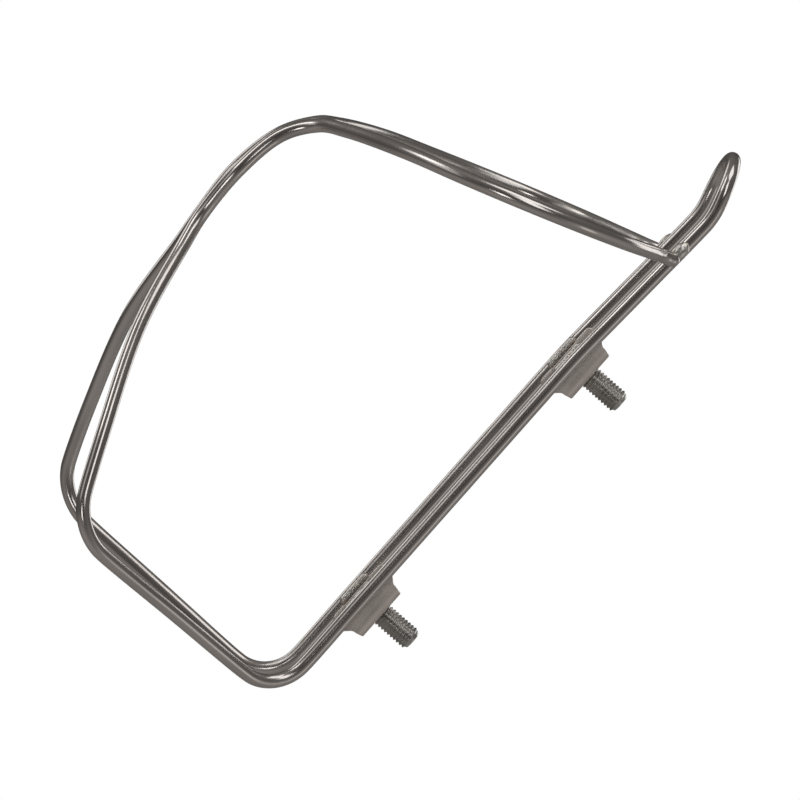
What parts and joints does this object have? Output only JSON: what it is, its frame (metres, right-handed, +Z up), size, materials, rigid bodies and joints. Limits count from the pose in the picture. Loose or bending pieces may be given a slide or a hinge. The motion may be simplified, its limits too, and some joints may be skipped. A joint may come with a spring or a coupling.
{
  "type": "water bottle cage",
  "caption": "Wire bottle cage bent from a single steel wire, with two welded mounting brackets and removable mounting bolts.",
  "frame": {"origin": "midway between the two bolt axes, on the mounting plane at the back of both brackets", "axes": "+Z up along the bottle and the frame tube, +Y towards the frame tube, -Y towards the bottle, X across"},
  "size_m": [0.0786, 0.0919, 0.146],
  "materials": {
    "wire_steel": "polished stainless wire",
    "sheet_steel": "satin stainless sheet",
    "weld_steel": "rough bright weld metal",
    "bolt_steel": "stainless fastener"
  },
  "bodies": {
    "cage": {"wire_frame": "wire_steel", "upper_bracket": "sheet_steel", "lower_bracket": "sheet_steel", "right_arm_weld": "weld_steel", "left_arm_weld": "weld_steel", "upper_bracket_right_weld": "weld_steel", "upper_bracket_left_weld": "weld_steel", "lower_bracket_right_weld": "weld_steel", "lower_bracket_left_weld": "weld_steel"},
    "upper_fastener": {"upper_bolt": "bolt_steel", "upper_washer": "bolt_steel"},
    "lower_fastener": {"lower_bolt": "bolt_steel", "lower_washer": "bolt_steel"}
  },
  "joints": [
    {"name": "upper_bolt_out", "type": "slide", "parent": "cage", "child": "upper_fastener", "axis": [0, -1, 0], "range_m": [0, 0.012]},
    {"name": "lower_bolt_out", "type": "slide", "parent": "cage", "child": "lower_fastener", "axis": [0, -1, 0], "range_m": [0, 0.012]}
  ]
}
